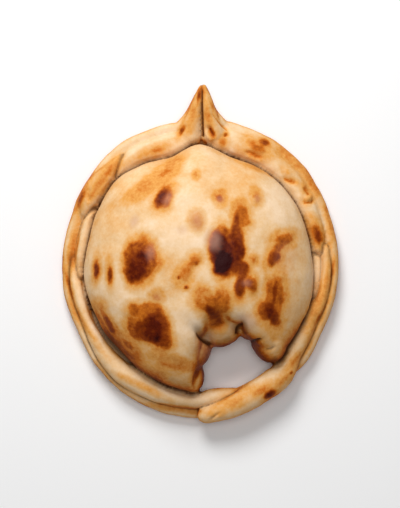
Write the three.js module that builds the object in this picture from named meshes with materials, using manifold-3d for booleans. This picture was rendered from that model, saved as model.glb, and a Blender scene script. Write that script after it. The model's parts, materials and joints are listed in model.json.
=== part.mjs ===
// A round baked empanada in millimetres, +Z up, lying on its flat underside.
// A filled half-moon of dough has its sealed edge rolled inwards, and the two ends of that edge are
// drawn round until they cross. The rolled edge is then a ring about a puffed pouch, pinched to a
// peak at the far side (+Y). Between the crossed ends and the pouch a hole is left open (-Y).
// The dough is one piece, so the pouch and every fold of the edge are joined into one solid.
import * as THREE from "three";
import { mergeVertices } from "three/addons/utils/BufferGeometryUtils.js";
import Module from "manifold-3d";

// Driving dimensions
const RING_HALF_WIDTH = 50; // outside of the rolled edge, along X
const RING_HALF_LENGTH = 53.5; // the same along Y, without the peak
const RING_CENTRE_Y = -5.2;
const POUCH_HEIGHT = 32.5;
const WAIST_HEIGHT = 9; // where the pouch is widest
const POUCH_CENTRE = new THREE.Vector2(-1, -4);
const BASE_TUCK = 3.5; // how far the pouch draws in from its waist to its underside
const CROWN_FLATNESS = 0.92; // under 1 fills the pouch out towards its sides
const BASE_FLATNESS = 0.45; // the same below the waist

// Numbers of faces
const POUCH_STEPS_ROUND = 88;
const POUCH_STEPS_UP = 26;
const FOLD_STEPS_ROUND = 10;
const FOLD_STEP_LENGTH = 5; // mm of fold to each ring of faces
const FOLD_END_STEPS = 3;
const FOLD_END_LENGTH = 2.6; // mm over which a fold's end is rounded off

// Angles are in degrees round the ring, clockwise from the peak as seen from above. An inset is a
// distance in from the ring's outline. A list of values is spread evenly from start to end.
const POUCH_INSET = 8.6;
// The pouch draws back from the ring between these two angles, which leaves the hole. The notch is
// soft near the crown and sharper at the waist.
const HOLE = { from: 149, to: 177, inset: 23.2, crownEdge: 16, waistEdge: 3.2 };

// The folds of the rolled edge: widths and heights are halves, lift is the height of the middle.
const RING_FOLDS = [
  // right of the peak: a broad blistered fold, then two thin ones, then the thick end that crosses over
  { from: 2, to: 80, inset: [6.6, 6.4, 6.6, 6.5, 6.6, 6.2],
    halfWidth: [4.8, 4.7, 4.2, 3.7, 3.2, 2.6],
    halfHeight: [4.6, 4.4, 4.2, 4, 3.8, 3], lift: [7.2, 7, 6.8, 6.6, 6.4, 6] },
  { from: 6, to: 140, inset: [2, 1.5, 1.4, 1.9, 1.8, 1.4, 2, 2.9, 2.8],
    halfWidth: [2, 2.3, 2.4, 2.3, 2, 1.5, 1.6, 2, 2.5],
    halfHeight: [2.6, 3, 3, 3, 2.8, 2.6, 2.6, 2.8, 3], lift: [6, 5.6, 5.4, 5.2, 5, 4.8, 4.8, 5, 5.2] },
  { from: 78, to: 113, inset: [7.3, 8, 8.4, 8.4], halfWidth: [1.7, 1.8, 1.8, 1.2],
    halfHeight: [3, 3, 2.8, 2], lift: [4.8, 4.6, 4.6, 5] },
  { from: 79, to: 119, inset: [4.6, 4.8, 5.6, 6.6], halfWidth: [1.8, 2.1, 2.2, 2.6],
    halfHeight: [3, 3.4, 3.4, 3.4], lift: [6.2, 6.4, 6.6, 7] },
  { from: 104, to: 180.5, inset: [6.8, 7, 7.2, 4.8, 3.8, 2.3, 0.3],
    halfWidth: [2.2, 3.4, 3.9, 4.8, 4.7, 4.1, 2.9],
    halfHeight: [3, 4, 4.3, 4.4, 4.2, 3.8, 3], lift: [7, 7.2, 7.2, 7.6, 8.4, 8.4, 6.8] },
  // left of the peak: overlapping folds that narrow towards the far left
  { from: 358, to: 311, inset: [8, 7.4, 7.4, 6.4, 6.2, 7.6],
    halfWidth: [4.2, 4.4, 4.2, 3.6, 3, 1.2],
    halfHeight: [4.4, 4.3, 4.2, 4, 3.4, 2], lift: [7, 6.9, 6.8, 6.6, 6, 5] },
  { from: 355, to: 300, inset: [2.6, 2, 1.6, 1.6, 2], halfWidth: [2.4, 2.6, 2.5, 2.3, 2],
    halfHeight: [3, 3, 3, 2.8, 2.4], lift: [5.6, 5.4, 5.2, 5, 4.8] },
  { from: 323, to: 295.5, inset: [4, 4.1, 4.2, 4.6], halfWidth: [2.6, 3.8, 3.6, 1.8],
    halfHeight: [3.4, 4.4, 4.2, 2.8], lift: [6.6, 7, 6.8, 5.6] },
  { from: 302, to: 269, inset: [5.2, 6.2, 6.6, 6.1], halfWidth: [1.8, 2.3, 2.3, 1.2],
    halfHeight: [3, 3.8, 3.6, 2], lift: [6, 6.2, 6, 5] },
  { from: 304, to: 178, inset: [2.4, 2.3, 2.1, 1.9, 2.7, 2.8, 2.6, 2.3, 2.4],
    halfWidth: [2.1, 2.2, 2, 1.6, 1.6, 1.8, 2.1, 2.5, 2.6],
    halfHeight: [2.8, 3, 2.8, 2.6, 2.6, 2.6, 2.8, 3, 2.6], lift: [5, 4.8, 4.6, 4.6, 4.6, 4.6, 4.4, 4, 3.4] },
  { from: 275, to: 159, inset: [3.4, 5, 5.9, 5.2, 6.4, 7.7, 6.8, 6.6, 8],
    halfWidth: [1.2, 1.9, 2.4, 2.6, 3.4, 4, 3.6, 3.3, 1.8],
    halfHeight: [2, 3.2, 3.6, 3.8, 4, 4.2, 4, 3.4, 2], lift: [5.6, 6.2, 6.4, 6.4, 6.2, 6, 5.6, 4.8, 4.6] },
];

// The unrolled dough beneath the folds, which closes the ring to the pouch.
const UNDERLAY = {
  from: 180, to: -178, inset: [5.8, 6, 6.4, 6.4, 6.4, 6.4, 6.6], halfWidth: [2.6, 3.2, 4.2, 4.2, 4.2, 3.6, 2.6],
  halfHeight: [3, 3.4, 3.6, 3.6, 3.6, 3.4, 3], lift: [2.4, 2.6, 3, 3, 3, 2.6, 2.4],
};

// The peak: two folds pressed together, each from its foot on the ring out to the shared tip, and the
// thin edge of the ring drawn up beside them.
const PEAK_FOLDS = [
  { foot: [-5.6, 40], tip: [-0.2, 61.2], bow: 0.4, halfWidth: [5.4, 4.2, 2.9, 2, 1.2],
    halfHeight: [4.2, 4, 3.4, 2.6, 1.6], lift: [6.8, 7.6, 8.8, 10, 11] },
  { foot: [5.4, 40], tip: [1, 61.4], bow: -0.4, halfWidth: [5.6, 4.4, 3, 2, 1.2],
    halfHeight: [4.6, 4.4, 3.8, 2.8, 1.8], lift: [7.4, 8.2, 9.4, 10.6, 11.4] },
  { foot: [15, 43.2], tip: [2, 57.6], bow: -2.2, halfWidth: [2.2, 2.1, 1.9, 1.6, 1.1],
    halfHeight: [2.8, 2.8, 2.4, 2, 1.4], lift: [5.8, 6.2, 7.2, 8.6, 10] },
];

// Creases pressed into the pouch, from a shallow start to a deep end at the hole.
const CREASES = [
  { from: [-6, -21], to: [3, -33], halfWidth: 3, depth: 1.8 },
  { from: [16.5, -20], to: [14, -31], halfWidth: 3, depth: 1.6 },
];

const wasm = await Module();
wasm.setup();

const radians = THREE.MathUtils.degToRad;
const { smoothstep } = THREE.MathUtils;

// The ring's outline, an ellipse, as its distance from its own centre.
function ringRadius(angle) {
  return 1 / Math.hypot(Math.sin(angle) / RING_HALF_WIDTH, Math.cos(angle) / RING_HALF_LENGTH);
}

// A smooth curve through evenly spread values, at t from 0 to 1.
function along(values, t) {
  const points = values.map((value) => new THREE.Vector2(0, value));
  return new THREE.SplineCurve(points).getPoint(t).y;
}

// A closed tube with rounded ends: a sphere whose poles are drawn out along the path. The path gives
// the middle at t, and the half width across it is level while the half height stands upright.
function tube(path, halfWidth, halfHeight) {
  const length = new THREE.CatmullRomCurve3([0, 0.25, 0.5, 0.75, 1].map(path)).getLength();
  const endShare = FOLD_END_LENGTH / length;
  const middleSteps = Math.max(2, Math.round((length - 2 * FOLD_END_LENGTH) / FOLD_STEP_LENGTH));
  const steps = middleSteps + 2 * FOLD_END_STEPS;
  const geometry = new THREE.SphereGeometry(1, FOLD_STEPS_ROUND, steps);
  const places = geometry.getAttribute("position");
  for (let i = 0; i < places.count; i += 1) {
    const unit = new THREE.Vector3().fromBufferAttribute(places, i);
    const row = Math.round((steps * Math.acos(THREE.MathUtils.clamp(unit.y, -1, 1))) / Math.PI);
    const turn = (Math.PI / 2) * Math.min(1, Math.min(row, steps - row) / FOLD_END_STEPS);
    const taper = Math.sin(turn);
    const inFromEnd = endShare * (1 - Math.cos(turn));
    const inMiddle = THREE.MathUtils.lerp(endShare, 1 - endShare, (row - FOLD_END_STEPS) / middleSteps);
    const t = taper > 0.999 ? inMiddle : row < steps / 2 ? inFromEnd : 1 - inFromEnd;
    const across = Math.hypot(unit.x, unit.z);
    const [level, upright] = across > 1e-6 ? [unit.x / across, -unit.z / across] : [0, 0];
    const middle = path(t);
    const ahead = path(Math.min(1, t + 0.01)).sub(path(Math.max(0, t - 0.01)));
    const side = new THREE.Vector3(ahead.y, -ahead.x, 0).normalize();
    middle.addScaledVector(side, level * taper * halfWidth(t));
    middle.z += upright * taper * halfHeight(t);
    places.setXYZ(i, middle.x, middle.y, middle.z);
  }
  return solid(geometry);
}

function ringFold(fold) {
  const path = (t) => {
    const angle = radians(THREE.MathUtils.lerp(fold.from, fold.to, t));
    const radius = ringRadius(angle) - along(fold.inset, t);
    return new THREE.Vector3(
      radius * Math.sin(angle),
      RING_CENTRE_Y + radius * Math.cos(angle),
      along(fold.lift, t),
    );
  };
  return tube(path, (t) => along(fold.halfWidth, t), (t) => along(fold.halfHeight, t));
}

function peakFold(fold) {
  const path = (t) =>
    new THREE.Vector3(
      THREE.MathUtils.lerp(fold.foot[0], fold.tip[0], t) + fold.bow * Math.sin(Math.PI * t),
      THREE.MathUtils.lerp(fold.foot[1], fold.tip[1], t),
      along(fold.lift, t),
    );
  return tube(path, (t) => along(fold.halfWidth, t), (t) => along(fold.halfHeight, t));
}

// How much of the hole is met in a direction given in degrees round the ring, from 0 to 1.
function holeShare(degrees, level) {
  const edge = THREE.MathUtils.lerp(HOLE.crownEdge, HOLE.waistEdge, level ** 3);
  return (
    smoothstep(degrees, HOLE.from - edge, HOLE.from + edge) *
    (1 - smoothstep(degrees, HOLE.to - edge, HOLE.to + edge))
  );
}

// The point in from the ring's outline by an inset, in the direction of an angle round the ring.
function insetPoint(angle, inset) {
  const radius = ringRadius(angle) - inset;
  return new THREE.Vector2(radius * Math.sin(angle), RING_CENTRE_Y + radius * Math.cos(angle));
}

// How deep the creases press in at a point of the pouch, seen from above.
function creaseDepth(x, y) {
  return CREASES.reduce((deepest, crease) => {
    const start = new THREE.Vector2(...crease.from);
    const run = new THREE.Vector2(...crease.to).sub(start);
    const offset = new THREE.Vector2(x, y).sub(start);
    const t = THREE.MathUtils.clamp(offset.dot(run) / run.lengthSq(), 0, 1);
    const away = offset.addScaledVector(run, -t).length() / crease.halfWidth;
    return Math.max(deepest, crease.depth * smoothstep(t, 0, 1) * Math.exp(-away * away));
  }, 0);
}

function pouch() {
  const geometry = new THREE.SphereGeometry(1, POUCH_STEPS_ROUND, POUCH_STEPS_UP);
  const places = geometry.getAttribute("position");
  for (let i = 0; i < places.count; i += 1) {
    const unit = new THREE.Vector3().fromBufferAttribute(places, i);
    const level = Math.min(1, Math.hypot(unit.x, unit.z));
    const angle = Math.atan2(unit.x, -unit.z);
    const degrees = THREE.MathUtils.euclideanModulo(THREE.MathUtils.radToDeg(angle), 360);
    const above = unit.y > 0;
    const tuck = above ? 0 : BASE_TUCK * -unit.y;
    const share = above ? holeShare(degrees, level) * smoothstep(level, 0.55, 1) : holeShare(degrees, 1);
    const setBack = (HOLE.inset - POUCH_INSET) * share;
    const waist = insetPoint(angle, POUCH_INSET + tuck);
    const reach = level ** (above ? CROWN_FLATNESS : BASE_FLATNESS);
    const place = POUCH_CENTRE.clone().lerp(waist, reach);
    const outward = place.clone().sub(POUCH_CENTRE);
    place.addScaledVector(outward.normalize(), -setBack * (above ? 1 : reach));
    const height = above ? POUCH_HEIGHT - WAIST_HEIGHT : WAIST_HEIGHT + 2;
    const rise = above ? unit.y : -((-unit.y) ** BASE_FLATNESS);
    places.setXYZ(i, place.x, place.y, WAIST_HEIGHT + height * rise);
  }
  const shape = merged(geometry);
  shape.computeVertexNormals();
  const points = shape.getAttribute("position");
  const normals = shape.getAttribute("normal");
  for (let i = 0; i < points.count; i += 1) {
    const depth = creaseDepth(points.getX(i), points.getY(i));
    points.setXYZ(
      i,
      points.getX(i) - depth * normals.getX(i),
      points.getY(i) - depth * normals.getY(i),
      points.getZ(i) - depth * normals.getZ(i),
    );
  }
  return solid(shape);
}

function merged(geometry) {
  geometry.deleteAttribute("normal");
  geometry.deleteAttribute("uv");
  return mergeVertices(geometry, 1e-4);
}

function solid(geometry) {
  const closed = merged(geometry);
  return new wasm.Manifold(
    new wasm.Mesh({
      numProp: 3,
      vertProperties: new Float32Array(closed.getAttribute("position").array),
      triVerts: new Uint32Array(closed.index.array),
    }),
  );
}

// Everything under the table's level, to be cut away so that the underside is flat.
function belowTable() {
  const depth = 20;
  const side = 4 * RING_HALF_LENGTH;
  return solid(new THREE.BoxGeometry(side, side, depth).translate(0, 0, -depth / 2));
}

function geometryOf(manifold) {
  const mesh = manifold.getMesh();
  const geometry = new THREE.BufferGeometry();
  geometry.setAttribute("position", new THREE.BufferAttribute(mesh.vertProperties, mesh.numProp));
  geometry.setIndex(new THREE.BufferAttribute(mesh.triVerts, 1));
  geometry.computeVertexNormals();
  return geometry;
}

// Dough fills the hollows left between the folds, so only the outermost shell is kept.
function outermost(manifold) {
  return manifold.decompose().reduce((largest, shell) => (shell.volume() > largest.volume() ? shell : largest));
}

const dough = outermost(
  [...RING_FOLDS.map(ringFold), ...PEAK_FOLDS.map(peakFold), ringFold(UNDERLAY)]
    .reduce((whole, fold) => whole.add(fold), pouch())
    .subtract(belowTable()),
);

const crust = new THREE.MeshStandardMaterial({ color: 0xdcb27a, roughness: 0.62, metalness: 0 });
const empanada = new THREE.Mesh(geometryOf(dough), crust);
empanada.name = "empanada";

const part = new THREE.Group();
part.add(empanada);

export default part;
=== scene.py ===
# A baked empanada, set out as a Blender add-on that is run as a script.
#
# A puffed pouch and the rolled edge folded round it are made apart, joined into one crust of dough,
# then creased, blistered and browned. Shapes are worked out in millimetres with +Z up and +Y towards
# the pinched peak, and become metres when their meshes are made.

import json
import math
from typing import NamedTuple

import bmesh
import bpy
import numpy as np
from bpy.props import FloatProperty, FloatVectorProperty, IntProperty, PointerProperty
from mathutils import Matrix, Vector
from mathutils.bvhtree import BVHTree

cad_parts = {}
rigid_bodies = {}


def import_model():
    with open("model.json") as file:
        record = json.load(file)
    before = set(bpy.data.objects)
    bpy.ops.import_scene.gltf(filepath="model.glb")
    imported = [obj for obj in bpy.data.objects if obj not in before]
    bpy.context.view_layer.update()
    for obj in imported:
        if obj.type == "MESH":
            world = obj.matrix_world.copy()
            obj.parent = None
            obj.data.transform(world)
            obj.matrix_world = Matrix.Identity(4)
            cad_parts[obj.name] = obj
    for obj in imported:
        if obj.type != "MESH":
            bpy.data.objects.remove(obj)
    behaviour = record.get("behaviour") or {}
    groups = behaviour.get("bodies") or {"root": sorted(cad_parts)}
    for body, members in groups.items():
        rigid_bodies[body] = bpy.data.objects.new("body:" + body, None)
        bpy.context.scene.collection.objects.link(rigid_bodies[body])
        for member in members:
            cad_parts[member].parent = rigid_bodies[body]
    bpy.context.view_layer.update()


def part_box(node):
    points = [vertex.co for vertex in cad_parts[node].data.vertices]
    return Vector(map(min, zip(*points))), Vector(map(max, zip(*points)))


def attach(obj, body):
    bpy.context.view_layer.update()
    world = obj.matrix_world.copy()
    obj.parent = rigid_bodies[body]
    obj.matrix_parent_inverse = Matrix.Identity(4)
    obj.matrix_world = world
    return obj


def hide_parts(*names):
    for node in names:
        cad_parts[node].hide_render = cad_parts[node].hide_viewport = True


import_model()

bl_info = {
    "name": "Baked Empanada",
    "version": (1, 0, 0),
    "blender": (4, 5, 0),
    "location": "3D View > Sidebar > Empanada",
    "description": "Builds a round baked empanada with a folded edge and a browned crust",
    "category": "Add Mesh",
}

MM = 0.001
NODE = "empanada"
LOW, HIGH = (np.array(corner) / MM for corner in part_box(NODE))


# ---- Numbers that follow a curve, noise and meshes


def smoothstep(low, high, value):
    """0 below low, 1 above high and an S-shaped curve between. low may be the greater."""
    share = np.clip((value - low) / (high - low), 0.0, 1.0)
    return share * share * (3.0 - 2.0 * share)


def smooth_through(values, t):
    """A smooth curve through evenly spread values, read at t from 0 to 1."""
    values = np.asarray(values, float)
    padded = np.concatenate([[2 * values[0] - values[1]], values, [2 * values[-1] - values[-2]]])
    place = np.clip(t, 0.0, 1.0) * (len(values) - 1)
    first = np.minimum(place.astype(int), len(values) - 2)
    u = place - first
    a, b, c, d = (padded[first + k] for k in range(4))
    return b + 0.5 * u * (c - a + u * (2 * a - 5 * b + 4 * c - d + u * (3 * (b - c) + d - a)))


def bell(values, half_width):
    """1 at 0, fading to either side."""
    return np.exp(-((values / half_width) ** 2))


def noise_at(points, size, seed, octaves=1):
    """Smooth noise of about -1 to 1 at points in millimetres, with lumps of about the given size."""
    chance = np.random.default_rng(seed)
    order = chance.permutation(256)
    slopes = chance.normal(size=(256, 3))
    slopes /= np.linalg.norm(slopes, axis=1)[:, None]
    total, share = np.zeros(len(points)), 1.0
    for octave in range(octaves):
        place = points * (2.0**octave / size) + 31.7 * octave
        cell = np.floor(place).astype(int)
        inside = place - cell
        weight = inside**3 * (inside * (inside * 6.0 - 15.0) + 10.0)
        for corner in np.ndindex(2, 2, 2):
            i, j, k = ((cell + corner) % 256).T
            slope = slopes[order[(i + order[(j + order[k]) % 256]) % 256]]
            reach = np.where(corner, weight, 1.0 - weight).prod(axis=1)
            total += share * reach * (slope * (inside - corner)).sum(axis=1) * 1.6
        share *= 0.5
    return total


def mesh_of(name, points, faces, edges=()):
    """A mesh from points in millimetres."""
    mesh = bpy.data.meshes.new(name)
    mesh.from_pydata((np.asarray(points) * MM).tolist(), list(edges), list(faces))
    mesh.update()
    return mesh


def object_of(mesh):
    made = bpy.data.objects.new(mesh.name, mesh)
    bpy.context.scene.collection.objects.link(made)
    return made


def set_attribute(mesh, name, values):
    mesh.attributes.new(name, "FLOAT", "POINT").data.foreach_set("value", values)


def remove(made):
    mesh = made.data
    bpy.data.objects.remove(made)
    bpy.data.meshes.remove(mesh)


def mesh_with_modifiers(made):
    """The mesh that an object's modifiers give, as a plain mesh of its own."""
    depsgraph = bpy.context.evaluated_depsgraph_get()
    return bpy.data.meshes.new_from_object(made.evaluated_get(depsgraph))


# ---- The rolled edge
#
# Angles are degrees round the ring, clockwise from the peak as seen from above. An inset is a
# distance in from the ring's outline. Lists are spread evenly from start to end.


class Fold(NamedTuple):
    """One roll of the edge: half its width and height, and how high its middle lies.

    Folds of one family run into each other. Folds of two families are parted by a crease.
    """

    family: str
    start: float
    end: float
    inset: list
    half_width: list
    half_height: list
    lift: list


class PeakFold(NamedTuple):
    """A fold of the peak, through points seen from above."""

    family: str
    through: list
    half_width: list
    half_height: list
    lift: list


FOLDS = {
    "right band": Fold("right", 2, 84, [6.2, 6.2, 6.0, 6.1, 6.3, 6.5, 6.6],
        [5.4, 5.2, 4.9, 4.6, 4.1, 3.6, 2.2], [4.4, 4.3, 4.2, 4.1, 4.0, 3.7, 2.6],
        [7.2, 7.2, 7.0, 6.8, 6.8, 6.8, 6.6]),
    "right outer edge": Fold("right flange", 8, 147,
        [0.9, 1.1, 0.8, 0.8, 1.3, 1.5, 1.8, 2.3, 3.2, 2.8, 3.8],
        [2.4, 2.4, 2.4, 2.3, 2.2, 2.1, 1.9, 1.9, 2.3, 2.5, 2.4],
        [3.0, 3.0, 3.0, 3.0, 2.8, 2.8, 2.8, 2.8, 2.8, 3.0, 2.8],
        [5.6, 5.5, 5.4, 5.4, 5.4, 5.2, 5.2, 5.0, 5.0, 5.0, 5.2]),
    "right thin roll": Fold("thin", 77, 111, [7.4, 8.0, 8.2, 8.6], [1.8, 2.4, 2.3, 1.3],
        [2.8, 2.8, 2.8, 2.0], [4.8, 5.0, 5.0, 5.0]),
    "right middle roll": Fold("crossing", 78, 120, [4.6, 4.3, 5.2, 6.6], [1.7, 2.2, 2.2, 2.6],
        [3.0, 3.4, 3.6, 3.4], [6.2, 6.4, 6.6, 6.6]),
    "crossing end": Fold("crossing", 105, 181, [6.8, 7.0, 6.9, 4.3, 3.8, 2.4, 0.6],
        [2.2, 3.4, 3.9, 4.8, 4.7, 4.1, 2.9], [3.2, 4.2, 4.4, 4.6, 4.5, 4.2, 3.4],
        [6.6, 7.0, 7.2, 7.6, 8.2, 8.4, 7.4]),
    "left band": Fold("left", 358, 310, [7.0, 7.6, 6.8, 5.8, 5.3, 6.2], [5.4, 5.0, 4.8, 4.4, 3.9, 2.2],
        [4.4, 4.3, 4.2, 4.1, 3.6, 2.4], [7.2, 7.0, 6.9, 6.7, 6.2, 5.4]),
    "left outer edge": Fold("left flange", 352, 296, [1.6, 1.4, 0.6, 0.8, 1.2, 1.4],
        [2.5, 2.4, 2.4, 2.3, 2.2, 2.2], [3.2, 3.2, 3.2, 3.1, 2.8, 2.4], [5.8, 5.8, 5.6, 5.4, 5.0, 4.4]),
    "left leaf": Fold("leaf", 327, 293, [2.2, 3.6, 4.0, 3.8, 4.6], [1.2, 2.9, 4.6, 4.0, 1.6],
        [2.2, 3.8, 4.5, 4.2, 2.6], [7.0, 7.6, 7.4, 7.0, 6.0]),
    "left thin roll": Fold("left thin", 303, 264, [5.6, 6.9, 6.9, 6.1], [1.6, 2.4, 2.4, 1.0],
        [3.0, 3.6, 3.6, 2.2], [6.0, 6.2, 6.0, 5.4]),
    "left rim edge": Fold("left rim", 306, 178, [1.3, 2.4, 2.3, 1.8, 2.7, 1.5, 1.2, 1.7, 2.0],
        [2.3, 2.6, 2.3, 1.8, 1.7, 1.5, 1.6, 2.2, 2.4], [2.8, 3.0, 3.0, 2.8, 2.8, 2.8, 2.8, 2.8, 2.6],
        [5.0, 5.0, 4.8, 4.8, 4.8, 4.6, 4.0, 3.2, 3.0]),
    "lower left roll": Fold("lower left", 276, 157, [3.4, 4.9, 5.7, 5.2, 5.3, 6.4, 6.0, 6.6, 5.2],
        [1.2, 2.7, 2.4, 3.1, 4.3, 4.2, 3.1, 3.4, 1.8], [2.0, 3.4, 3.8, 4.0, 4.2, 4.3, 4.4, 4.0, 2.6],
        [5.6, 6.2, 6.5, 6.6, 6.4, 6.4, 6.6, 5.8, 4.8]),
    "sheet beneath": Fold("sheet", 180, -178, [5.4, 5.6, 6.0, 6.0, 6.0, 6.4, 6.4],
        [2.6, 3.2, 4.4, 4.4, 4.4, 3.6, 2.6], [3.0, 3.2, 3.8, 3.8, 3.6, 2.4, 3.0],
        [2.4, 2.6, 3.0, 3.0, 3.0, 2.6, 2.4]),
    "strip beneath": Fold("sheet", 252, 198, [8.6, 9.8, 10.4, 10.0, 8.6], [2.2, 3.4, 3.8, 3.4, 2.2],
        [1.8, 2.4, 2.4, 2.4, 1.8], [1.8, 2.2, 2.2, 2.2, 1.8]),
    "peak left": PeakFold("left", [(-4.6, 38.6), (-3.7, 44.4), (-2.1, 50.0), (-0.7, 55.6), (0.6, 61.9)],
        [5.4, 4.3, 3.2, 1.9, 0.8], [4.4, 4.2, 3.6, 2.8, 1.4], [7.0, 7.8, 9.0, 10.2, 11.2]),
    "peak right": PeakFold("right", [(5.6, 39.2), (4.6, 44.6), (3.3, 50.0), (2.3, 55.6), (0.9, 61.9)],
        [5.2, 4.4, 3.3, 2.1, 0.9], [4.6, 4.6, 4.0, 3.0, 1.5], [7.4, 8.4, 9.8, 10.8, 11.6]),
    "peak right edge": PeakFold("right",
        [(17.0, 43.0), (10.6, 45.2), (6.8, 48.8), (4.4, 52.6), (2.0, 59.0)], [2.2, 2.0, 1.9, 1.4, 0.8],
        [2.8, 2.8, 2.8, 2.2, 1.4], [5.8, 6.2, 7.4, 8.8, 10.6]),
    "peak left edge": PeakFold("left",
        [(-14.0, 43.6), (-8.6, 45.7), (-5.2, 49.2), (-2.9, 53.4), (-0.2, 59.6)],
        [2.2, 1.9, 1.8, 1.4, 0.8], [2.8, 2.8, 2.6, 2.2, 1.4], [5.8, 6.2, 7.2, 8.6, 10.6]),
}

# Families that run into each other without a crease.
SEAMLESS = [("right", "right flange"), ("left", "left flange"), ("leaf", "left flange")]
SEAMLESS += [("left rim", "left flange"), ("left rim", "leaf")]
FAMILIES = ["pouch"] + sorted({fold.family for fold in FOLDS.values()})
PATH_STEP = 0.8  # mm between the points of a fold's path
ROUND_END = 1.1  # a fold's end is rounded over its half width times this
END_CROWDING = 0.35  # the share of a path's points that gather towards its ends
END_TIP = 0.02  # how wide the very tip of a fold is, as a share of the fold


def ring_radius(shape, radians):
    """How far the ring's outline lies from its own centre, in a direction."""
    half_width = shape.ring_half_width / MM
    half_length = shape.ring_half_length / MM
    return 1.0 / np.hypot(np.sin(radians) / half_width, np.cos(radians) / half_length)


def on_ring(shape, degrees, inset):
    """The x and y of points in from the ring's outline."""
    radians = np.radians(degrees)
    radius = ring_radius(shape, radians) - inset
    return radius * np.sin(radians), shape.ring_centre_y / MM + radius * np.cos(radians)


def fold_path(shape, fold):
    """Rows of x, y, z, half width and half height along a fold, tapered to round ends."""

    def rows(t):
        if isinstance(fold, Fold):
            degrees = fold.start + (fold.end - fold.start) * t
            x, y = on_ring(shape, degrees, smooth_through(fold.inset, t))
        else:
            x, y = (smooth_through(column, t) for column in zip(*fold.through))
        sizes = (fold.lift, fold.half_width, fold.half_height)
        return np.column_stack([x, y, *(smooth_through(column, t) for column in sizes)])

    def travelled(table):
        steps = np.linalg.norm(np.diff(table[:, :3], axis=0), axis=1)
        return np.concatenate([[0.0], np.cumsum(steps)])

    length = travelled(rows(np.linspace(0.0, 1.0, 60)))[-1]
    # more points towards the ends, where the taper is steep
    count = int(length / PATH_STEP) + 12
    even = np.linspace(0.0, 1.0, count)
    crowded = 0.5 - 0.5 * np.cos(even * math.pi)
    table = rows(END_CROWDING * crowded + (1.0 - END_CROWDING) * even)
    along = travelled(table)
    from_end = np.minimum(along, along[-1] - along) / (ROUND_END * table[:, 3])
    taper = np.sqrt(1.0 - (1.0 - np.clip(from_end, 0.0, 1.0)) ** 2)
    table[:, 3:] *= np.maximum(taper, END_TIP)[:, None]
    return table


def paths_mesh(shape):
    """Every fold's path as loose edges, with its half width and half height at each point."""
    points, edges, families = [], [], []
    for fold in FOLDS.values():
        table = fold_path(shape, fold)
        first = len(points)
        edges += [(first + i, first + i + 1) for i in range(len(table) - 1)]
        points += table.tolist()
        families += [FAMILIES.index(fold.family)] * len(table)
    table = np.array(points)
    mesh = mesh_of("fold_paths", table[:, :3], [], edges)
    set_attribute(mesh, "half_width", table[:, 3] * MM)
    set_attribute(mesh, "half_height", table[:, 4] * MM)
    set_attribute(mesh, "family", families)
    return mesh


def rolled_fold_nodes():
    """A node tree that rolls dough along paths, to the half width and half height they hold."""
    tree = bpy.data.node_groups.new("Rolled Fold", "GeometryNodeTree")
    for name, kind, default in (
        ("Paths", "NodeSocketGeometry", None),
        ("Section Points", "NodeSocketInt", 28),
        ("Unevenness", "NodeSocketFloat", 0.3 * MM),
        ("Lump Size", "NodeSocketFloat", 9 * MM),
        ("Seed", "NodeSocketFloat", 4.0),
        ("Dough", "NodeSocketMaterial", None),
    ):
        socket = tree.interface.new_socket(name, in_out="INPUT", socket_type=kind)
        if default is not None:
            socket.default_value = default
    tree.interface.new_socket("Folds", in_out="OUTPUT", socket_type="NodeSocketGeometry")

    nodes = Nodes(tree)
    add = nodes.add

    def vector(operation, *values):
        return nodes.calculate("ShaderNodeVectorMath", operation, *values)

    def named(attribute):
        kind = "GeometryNodeInputNamedAttribute"
        return add(kind, {"data_type": "FLOAT"}, {"Name": attribute})["Attribute"]

    given = add("NodeGroupInput")
    position = add("GeometryNodeInputPosition")[0]
    curves = add("GeometryNodeMeshToCurve", {}, {"Mesh": given["Paths"]})["Curve"]
    level = add("GeometryNodeSetCurveNormal", {"mode": "Z_UP"}, {"Curve": curves})["Curve"]
    captured = add("GeometryNodeCaptureAttribute", {}, {"Geometry": level})
    captured.node.capture_items.new("VECTOR", "Middle")
    tree.links.new(position.socket, captured.node.inputs["Middle"])
    middle = captured["Middle"]
    round_section = {"Resolution": given["Section Points"], "Radius": 1.0}
    ring = add("GeometryNodeCurvePrimitiveCircle", {}, round_section)["Curve"]
    swept = {"Curve": captured["Geometry"], "Profile Curve": ring, "Fill Caps": True}
    tube = add("GeometryNodeCurveToMesh", {}, swept)["Mesh"]

    across, up = named("half_width"), named("half_height")
    size = add("ShaderNodeCombineXYZ", {}, {"X": across, "Y": across, "Z": up})[0]
    swelling = vector("MULTIPLY_ADD", vector("SUBTRACT", position, middle), size, middle)
    scale = nodes.calculate("ShaderNodeMath", "DIVIDE", 1.0, given["Lump Size"])
    lumpy = {"Vector": swelling, "W": given["Seed"], "Scale": scale, "Detail": 2.0}
    lumps = add("ShaderNodeTexNoise", {"noise_dimensions": "4D"}, lumpy)["Color"]
    centred = {0: vector("SUBTRACT", lumps, (0.5, 0.5, 0.5)), "Scale": given["Unevenness"]}
    uneven = add("ShaderNodeVectorMath", {"operation": "SCALE"}, centred)[0]
    placed = {"Geometry": tube, "Position": vector("ADD", swelling, uneven)}
    rolled = add("GeometryNodeSetPosition", {}, placed)["Geometry"]
    real = add("GeometryNodeRealizeInstances", {}, {"Geometry": rolled})["Geometry"]
    dough = {"Geometry": real, "Material": given["Dough"]}
    finished = add("GeometryNodeSetMaterial", {}, dough)["Geometry"]
    add("NodeGroupOutput", {}, {"Folds": finished})
    return tree


# ---- The pouch
#
# Its waist is an inset from the ring's outline that changes with the angle. Between two angles it
# is cut back to leave the hole, and rounded lobes of puckered dough close round the cut.


class Lobe(NamedTuple):
    """A rounded bulge of dough: its middle, its half sizes, and its turn in degrees."""

    middle: tuple
    half: tuple
    turn: float


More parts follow.
